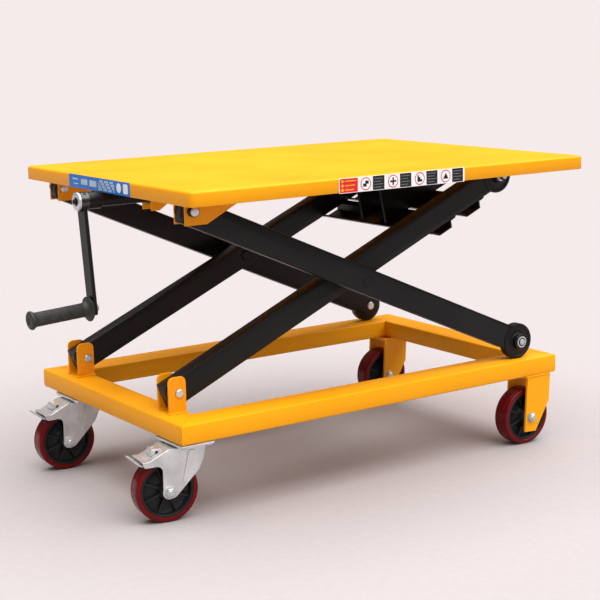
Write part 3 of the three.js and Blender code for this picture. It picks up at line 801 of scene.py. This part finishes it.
def centre_pins():
    """Pins at the middle of the arms, with the collar that keeps the arms apart."""
    for hand, side in SIDES:
        node = f"centre_pivot_pin_{hand}"
        box = Box(node)
        low, high = box.near, box.far
        inside, outside = Box(f"inner_arm_{hand}").far + 0.4, Box(f"outer_arm_{hand}").near - 0.4
        collar, pin = 16.0, 10.0
        profile = [
            (0, low), (pin - 2, low), (pin, low + 1.6), (pin, inside), (collar - 1, inside),
            (collar, inside + 1), (collar, outside - 1), (collar - 1, outside), (pin, outside),
            (pin, high - 0.6), (pin - 1.6, high), (3, high), (0, high - 1.4),
        ]
        shape = Shape(moved(box.x, 0, box.z)).turn(mirrored(profile, side))
        piece(f"{node}_turned", shape, BLACK, "outer_arms", [node], angle=35)


# ---- screw drive and crank
def lead_screw():
    """Trapezoid thread on the free length, plain inside the crank's sleeve."""
    box, hub = Box("lead_screw"), Box("crank_hub")
    core, crest, pitch, sides = 9.8, 12.0, 6.0, 24
    start, end = hub.x1 + 6, box.x1 - 8
    steps = int((end - start) / pitch * sides)
    section = ((0.0, core), (0.18, crest), (0.46, crest), (0.64, core))
    points, faces = [], []
    for i in range(steps + 1):
        fade = min(1.0, i / sides, (steps - i) / sides)
        for part, radius in section:
            a, b = polar(core + (radius - core) * fade, 360 * i / sides)
            points.append((min(start + pitch * i / sides + part * pitch, end), a, b))
    for i in range(steps):
        row, next_turn = 4 * i, 4 * (i + sides)
        faces += [[row + k, row + k + 1, row + k + 5, row + k + 4] for k in range(3)]
        if i + sides < steps:
            faces.append([row + 3, next_turn, next_turn + 4, row + 7])
        elif i + sides == steps:
            faces.append([row + 3, next_turn, row + 7])
    shape = Shape(moved(0, box.y, box.z)).add(points, faces)
    ends = [(0, box.x0), (core, box.x0), (core, start + 2), (core - 0.6, start + 3), (core - 0.6, end - 2),
            (core, end), (core - 0.5, box.x1 - 1.5), (core - 2, box.x1), (0, box.x1)]
    shape.turn(ends, 48, ALONG_X)
    piece("lead_screw_thread", shape, STEEL, "crank", ["lead_screw"], angle=25)


def crank_hub():
    """Bright collar with a dark centre, the black shoulder behind it and the long sleeve."""
    box = Box("crank_hub")
    place = moved(box.x0, 0, box.z) @ ALONG_X    # Y runs from the hub's front face
    bore, inner, radius, shoulder, sleeve_radius = 8.5, 14.2, 18.5, 17.0, 14.0
    seam, back, step, end = 5.0, 23.0, 52.0, box.x1 - box.x0
    face = Shape(place).turn([
        (bore, 3.5), (bore, 0.8), (9.3, 0), (radius - 2, 0), (radius - 0.5, 0.5), (radius, 2),
        (radius, seam - 0.6), (radius - 0.6, seam), (bore, seam), (bore, 3.5)], 72)
    piece("crank_hub_face", face, ZINC, "crank", ["crank_hub"], angle=28)
    collar = Shape(place).turn([
        (inner, seam), (radius - 0.8, seam), (radius - 0.1, seam + 0.7), (radius - 0.1, back - 0.8),
        (radius - 0.8, back), (inner, back), (inner, seam)], 72)
    piece("crank_hub_collar", collar, DARK_STEEL, "crank", angle=28)
    sleeve = Shape(place).turn([
        (0, 3.2), (7.0, 3.2), (8.3, 2.2), (8.4, 7), (13.9, 7), (13.9, back + 0.1),
        (shoulder - 0.6, back + 0.1), (shoulder, back + 0.8), (shoulder, step - 1),
        (shoulder - 0.8, step), (sleeve_radius, step), (sleeve_radius, end - 1.2),
        (sleeve_radius - 1, end), (12.6, end), (12.6, 9), (0, 9)], 64)
    piece("crank_sleeve", sleeve, BLACK, "crank", angle=28)
    screws = Shape(place)
    screws.turn([(0, -3.4), (2.2, -3.4), (2.2, -5.2), (4.6, -5.2), (5.2, -4.4), (5.2, 3.4), (0, 3.4)], 24)
    for around in (35, 215):
        screws.turn([(0, radius - 0.6), (1.4, radius - 0.6), (1.4, radius + 0.4), (3.2, radius + 0.4),
                     (3.4, radius - 1), (0, radius - 1)], 20, moved(0, 15, 0) @ turned(around, "Y") @ ALONG_Z)
    piece("crank_screws", screws, BLACK, "crank", angle=35)


def crank_bar():
    """Flat bar from the hub to the grip, the nut on the grip's spindle and the seam at the hub."""
    grip_at, out = joint("grip_spin")
    down = Vector((0, 1, 0)).cross(out).normalized()
    if down.z > 0:
        down = -down
    reach = (Box("crank_hub").z - grip_at.z) / -down.z    # from the hub's axis to the grip's
    place = axes(grip_at - down * reach, out, (0, 1, 0))
    half_width, half, overhang, hub_weld = 15.0, 4.0, 13.0, 20.0
    sign = 1 if (place.to_3x3() @ Vector((0, 0, 1))).dot(down) > 0 else -1
    tip = sign * (reach + overhang)
    outline = rounded([(-half_width, sign * 6), (half_width, sign * 6), (half_width, tip, 5),
                       (-half_width, tip, 5)], 6)
    shape = Shape(place).extrude(outline, -half, half, "X")
    piece("crank_bar", shape, BLACK, "crank", ["crank_arm"], edge=1.1)
    nut = Shape(place).turn([
        (0, -half - 7), (7.2, -half - 7), (8.4, -half - 6), (8.4, -half - 1.4), (11, -half - 1.4),
        (11, -half + 0.2), (0, -half + 0.2)], 6, moved(0, 0, sign * reach) @ ALONG_X)
    piece("crank_spindle_nut", nut, ZINC, "crank", edge=0.4)
    path = [(half + 0.2, a, b) for a, b in disc(0, 0, hub_weld, 30) if abs(a) < 12.4 and b * sign > 0]
    weld = Shape(place).sweep(path, 1.6, 8, 0.14)
    piece("crank_hub_weld", weld, BLACK, "crank")


def crank_grip():
    """Moulded grip: double guard at the bar, fluted body in four bands, flared end."""
    at, axis = joint("grip_spin")
    place = axes(at, axis.cross(Vector((0, 1, 0))), axis)
    start, length, body, guard, flare = 4.3, 137.0, 14.3, 25.0, 18.5
    shape = Shape(place)
    shape.turn([
        (0, start), (guard - 5, start), (guard - 3.6, start + 0.8), (guard - 3.6, start + 2.6),
        (guard - 1, start + 3), (guard, start + 4), (guard, start + 6), (guard - 1.2, start + 7.4),
        (body + 6.5, start + 8.2), (body + 3, start + 10), (body + 1, start + 14), (body, start + 19),
        (body - 1.2, start + 20), (0, start + 20)], 72)
    shape.turn([
        (0, length - 15), (body - 1.2, length - 15), (body, length - 14), (body + 0.8, length - 11),
        (flare - 1.4, length - 8), (flare, length - 6), (flare, length - 3.4), (flare - 1, length - 1.4),
        (flare - 3, length - 0.2), (flare - 8, length), (6, length - 0.6), (4.5, length - 2),
        (0, length - 2)], 72)
    first, last, bands, groove = start + 19.5, length - 14.5, 4, 1.6
    pitch = (last - first) / bands
    flute, flutes = 0.8, 20
    for k in range(bands):
        low, high = first + k * pitch + groove / 2, first + (k + 1) * pitch - groove / 2
        band = [(body - 0.9, low), (body, low + 1), (body, high - 1), (body - 0.9, high)]
        shape.turn(band, 120, None, flute, flutes)
    shape.turn([(body - 0.9, first - 1), (body - 0.9, last + 1)], 72)
    piece("crank_grip_moulding", shape, GRIP, "crank_grip", ["crank_grip"], angle=38)


# ---- wheels
def wheel(name, node, body, axis):
    """Cast tread on a ribbed plastic core with a bearing in its hub."""
    box = Box(f"tyre_{node}")
    place = axes((box.x, box.y, WHEEL_Z), Vector(axis).cross(Vector((0, 0, 1))), axis)
    radius, half, bead, crown = WHEEL_Z, 18.5, 52.5, 4.5
    profile = [(bead, -half + 1.2), (bead + 1.0, -half), (radius - crown - 0.4, -half)]
    for angle in range(-90, 1, 15):
        a, b = polar(crown, angle)
        profile.append((radius - crown + a, -half + crown + b))
    groove = radius - 0.7
    profile += [(radius, -half + 7.0), (groove, -half + 7.6), (groove, -half + 8.4), (radius, -half + 9.0)]
    tread = Shape(place).turn(looped(profile + mirrored(profile, -1)[::-1]), 96)
    piece(f"tread_{name}", tread, TREAD, body, [f"tyre_{node}"], angle=30)
    core = Shape(place)
    rim, web, hub, bore, hub_half, outer = bead - 0.3, 6.0, 17.0, 6.5, 25.8, half - 1.0
    side_profile = [
        (bore, hub_half), (hub - 3.6, hub_half), (hub - 2.6, hub_half - 1), (hub, hub_half - 8),
        (hub + 1.6, web + 2), (hub + 4, web), (rim - 8, web), (rim - 6.2, web + 1.6),
        (rim - 4.6, outer - 1.4), (rim - 3.4, outer), (rim, outer)]
    core.turn(looped(mirrored(side_profile, -1) + side_profile[::-1]), 72)
    ribs, rib_half = 8, 2.0
    for k in range(ribs):
        for flip in (1, -1):
            foot = mirrored([(hub - 1, web - 1), (rim - 4.5, web - 1), (rim - 4.5, outer - 5),
                             (hub - 1, outer - 2)], flip)
            core.extrude(foot, -rib_half, rib_half, "Z", turned(360 * (k + 0.5) / ribs, "Y"))
    piece(f"wheel_core_{name}", core, CORE, body, [f"wheel_core_{node}"], edge=0.5, segments=2, angle=45)
    bearing = Shape(place)
    for flip in (1, -1):
        back, front = hub_half - 0.5, hub_half + 0.25
        ring = [(9.8, back), (12.6, back), (12.4, front), (10.0, front)]
        bearing.turn(mirrored(looped(ring), flip), 48)
    piece(f"bearing_ring_{name}", bearing, STEEL, body, angle=35)


def bolt(name, node, body, place, half_grip):
    """Axle bolt: hexagon head with washer on one side, nut with thread end on the other."""
    flats, stem, washer = 10.0, 6.0, 11.2
    end = half_grip + 7.0
    shape = Shape(place)
    shape.turn([(0, -end - 1.5), (stem - 1.2, -end - 1.5), (stem, -end), (stem, half_grip + 1),
                (0, half_grip + 1)], 40)
    for flip in (1, -1):
        nut = [(0, end), (flats * 0.80, end), (flats * 0.86, end - 0.3), (flats, end - 2),
               (flats, half_grip + 1.6), (0, half_grip + 1.6)]
        shape.turn(mirrored(nut, flip), 6)
        ring = [(stem - 0.5, half_grip + 0.1), (washer - 0.4, half_grip + 0.1), (washer, half_grip + 0.5),
                (washer, half_grip + 1.4), (stem - 0.5, half_grip + 1.4)]
        shape.turn(mirrored(looped(ring), flip), 48)
    piece(name, shape, ZINC, body, [node], edge=0.3, segments=2, angle=28)


def wheels():
    for hand, _ in SIDES:
        for end in ("rear", "front"):
            wheel(f"{end}_{hand}_cast", f"{end}_{hand}", f"{end}_wheel_{hand}",
                  joint(f"{end}_wheel_spin_{hand}")[1])
        axle, fork = Box(f"fixed_axle_{hand}"), Box(f"fixed_fork_{hand}")
        bolt(f"rear_bolt_{hand}", f"fixed_axle_{hand}", "base", moved(axle.x, axle.y, WHEEL_Z),
             (fork.y1 - fork.y0) / 2)


# ---- swivel casters
FORK_INSIDE, FORK_SHEET, TRAIL = 27.0, 3.5, 45.0


def caster_frame(hand):
    """Placement at the swivel axis on the floor: the wheel trails towards -X."""
    at, _ = joint(f"swivel_{hand}")
    _, axis = joint(f"front_wheel_spin_{hand}")
    return axes((at.x, at.y, 0), axis.cross(Vector((0, 0, 1))), axis)


def swivel_fork(hand):
    """Pressed fork: two legs under a crown and a hood that slopes down over the wheel."""
    place = caster_frame(hand)
    body = f"swivel_{hand}"
    node = f"swivel_fork_{hand}"
    top = Box(node).z1
    outside = FORK_INSIDE + FORK_SHEET
    hood = [(31, top), (-44, top, 5), (-84, 127, 8), (-97, 128)]
    leg = rounded(hood + [
        (-93, 115, 6), (-57, 116, 12), (-57.5, 62, 14), (-TRAIL - 2, 47.5, 14), (-32, 52, 12),
        (15, 99, 16), (25, 120, 18)], 6)
    crown = rounded(hood + [(-96.5, 124.6), (-83, 123.4, 6), (-43, top - 3.8, 3), (31, top - 3.8)], 5)
    rib, rib_height = [(8, top - 6), (-5, top - 6), (-20, 78), (-13, 78)], 2.2
    shape, boss = Shape(place), Shape(place)
    shape.extrude(leg, FORK_INSIDE, outside, "Y")
    shape.extrude(leg, -outside, -FORK_INSIDE, "Y")
    shape.extrude(crown, -outside + 0.4, outside - 0.4, "Y")
    shape.extrude(rib, outside - 0.5, outside + rib_height, "Y")
    shape.extrude(rib, -outside - rib_height, -outside + 0.5, "Y")
    piece(f"{node}_pressed", shape, ZINC, body, [node], edge=1.2)
    hood_lug(hand, place, body, top)
    axle = moved(-TRAIL, 0, WHEEL_Z)
    for flip in (1, -1):
        ring = [(9.5, outside - 0.4), (13.5, outside - 0.4), (12.8, outside + 0.5), (9.5, outside + 0.7)]
        boss.turn(mirrored(looped(ring), flip), 40, axle)
    piece(f"fork_bosses_{hand}", boss, ZINC, body, angle=40)
    bolt(f"front_bolt_{hand}", f"swivel_axle_{hand}", body, place @ axle, outside)


def hood_lug(hand, place, body, top):
    """Raised block on the hood that carries the brake's spring, with a black disc painted as the shade inside its
    bore, and a rivet.
    """
    half, back, front = 13.0, -52.0, -72.0
    outline = [(back, top - 6), (back, top - 0.6, 2), (front - 1, top - 1.8, 3), (front - 3, top - 14)]
    lug = Shape(place).extrude(rounded(outline, 4), -half, half, "Y")
    piece(f"hood_lug_{hand}", lug, ZINC, body, edge=1.4)
    # flat black disc on the lug's side: painted shade that stands for the inside of the bore
    bore = Shape(place @ moved(-62, -half + 0.4, top - 8.2))
    bore.turn([(0, -0.7), (3.0, -0.7), (3.5, -0.4), (3.5, 0.2), (0, 0.2)], 28)
    piece(f"hood_bore_shade_disc_{hand}", bore, BLACK, body, angle=40)
    rivet = Shape(place @ moved(-64, 6, top - 1.4) @ ALONG_Z)
    rivet.turn([(0, 1.4), (2.0, 1.2), (3.4, 0.4), (3.8, -0.8), (0, -0.8)], 28)
    piece(f"hood_rivet_{hand}", rivet, ZINC, body, angle=40)


def swivel_plate(hand):
    """Mounting plate with four bolts, and the dark ball race under it."""
    node = f"swivel_plate_{hand}"
    box = Box(node)
    top, thick, bolt_x, bolt_y = box.z1, 4.0, 28.0, 42.0
    shape = Shape().extrude(block(box.x0, box.x1, box.y0, box.y1, 8, 6), top - thick, top, "Z")
    piece(f"{node}_rolled", shape, ZINC, "base", [node], edge=0.8)
    race = Shape(moved(box.x, box.y, 0) @ ALONG_Z).turn([
        (0, box.z0 + 0.2), (27, box.z0 + 0.2), (30.5, box.z0 + 0.9), (31, box.z0 + 2.2), (29, top - 3.8),
        (0, top - 3.8)])
    piece(f"ball_race_{hand}", race, BLACK, "base", angle=30)
    bolts = Shape()
    for sx in (-1, 1):
        for sy in (-1, 1):
            x, y = box.x + sx * bolt_x, box.y + sy * bolt_y
            bolts.extrude(disc(x, y, 7.5, 6, 12 * sx), top - 7.6, top - 4.9, "Z")
            bolts.extrude(disc(x, y, 9.5, 24), top - 5.0, top - 3.9, "Z")
    piece(f"plate_bolts_{hand}", bolts, ZINC, "base", edge=0.4, segments=2)


def brake_pedal(hand):
    """Pressed foot pedal with three raised grip bars."""
    half = FORK_INSIDE - 3.7
    outline = [(-80, 116), (-98, 117.5, 6), (-112, 128.2), (-112, 131.6), (-98, 120.9, 5), (-81, 119.4)]
    shape = Shape(caster_frame(hand)).extrude(rounded(outline, 4), -half, half, "Y")
    for k in range(3):
        x, z = -101.5 - k * 3.4, 124.2 + k * 2.6
        bar = [(x - 0.9, z - 0.6), (x + 0.9, z - 1.8), (x + 0.9, z + 0.1), (x - 0.9, z + 1.1)]
        shape.extrude(bar, -half + 3, half - 3, "Y")
    node = f"brake_pedal_{hand}"
    piece(f"{node}_pressed", shape, ZINC, f"brake_{hand}", [node], edge=0.7)


# ---- assembly
def plain_skins():
    """CAD surfaces that only need rounded edges; the lower ears and upper brackets take the yellow with painted
    shade.
    """
    paired = (("base_rail", 1.0), ("fixed_fork", 0.9), ("inner_arm", 0.8), ("outer_arm", 0.8),
              ("yoke_plate", 1.0))
    brackets = (("lower_ear_inner", 1.0), ("lower_ear_outer", 1.0), ("upper_bracket", 0.9))
    single = (("base_end_rear", 1.0), ("base_end_crank", 1.0), ("cross_member_upper", 1.2),
              ("cross_member_lower", 1.2), ("screw_bracket", 0.8), ("bearing_housing", 0.8),
              ("drive_nut", 0.8))
    for hand, _ in SIDES:
        for node, edge in paired:
            skin(f"{node}_{hand}", edge)
        for node, edge in brackets:
            # ears and brackets get the deeper yellow: painted shade on the same paint
            skin(f"{node}_{hand}", edge, BRACKET_PAINTED_SHADE_YELLOW)
    for node, edge in single:
        skin(node, edge)


def make_floor():
    floor = bpy.data.meshes.new("floor")
    reach = 150.0    # metres, past the horizon of the picture
    corners = [(-reach, -reach, 0), (reach, -reach, 0), (reach, reach, 0), (-reach, reach, 0)]
    floor.from_pydata(corners, [], [(0, 1, 2, 3)])
    n = Nodes("studio_floor")
    grain = n.ramp(n.noise(60, 5), (0.375, 0.348, 0.360), (0.390, 0.363, 0.375))
    n.surface(grain, None, Roughness=0.9, Specular_IOR_Level=0.0)
    floor.materials.append(n.material)
    placed("floor", floor)


def build():
    make_camera()
    make_lights()
    make_floor()
    deck()
    side_labels()
    end_label()
    plain_skins()
    base_welds()
    arm_welds()
    deck_welds()
    arm_ends()
    pins()
    centre_pins()
    for hand, _ in SIDES:
        roller("upper", hand, "inner_arms")
        roller("lower", hand, "outer_arms")
        swivel_plate(hand)
        swivel_fork(hand)
        brake_pedal(hand)
    wheels()
    lead_screw()
    crank_hub()
    crank_bar()
    crank_grip()


build()
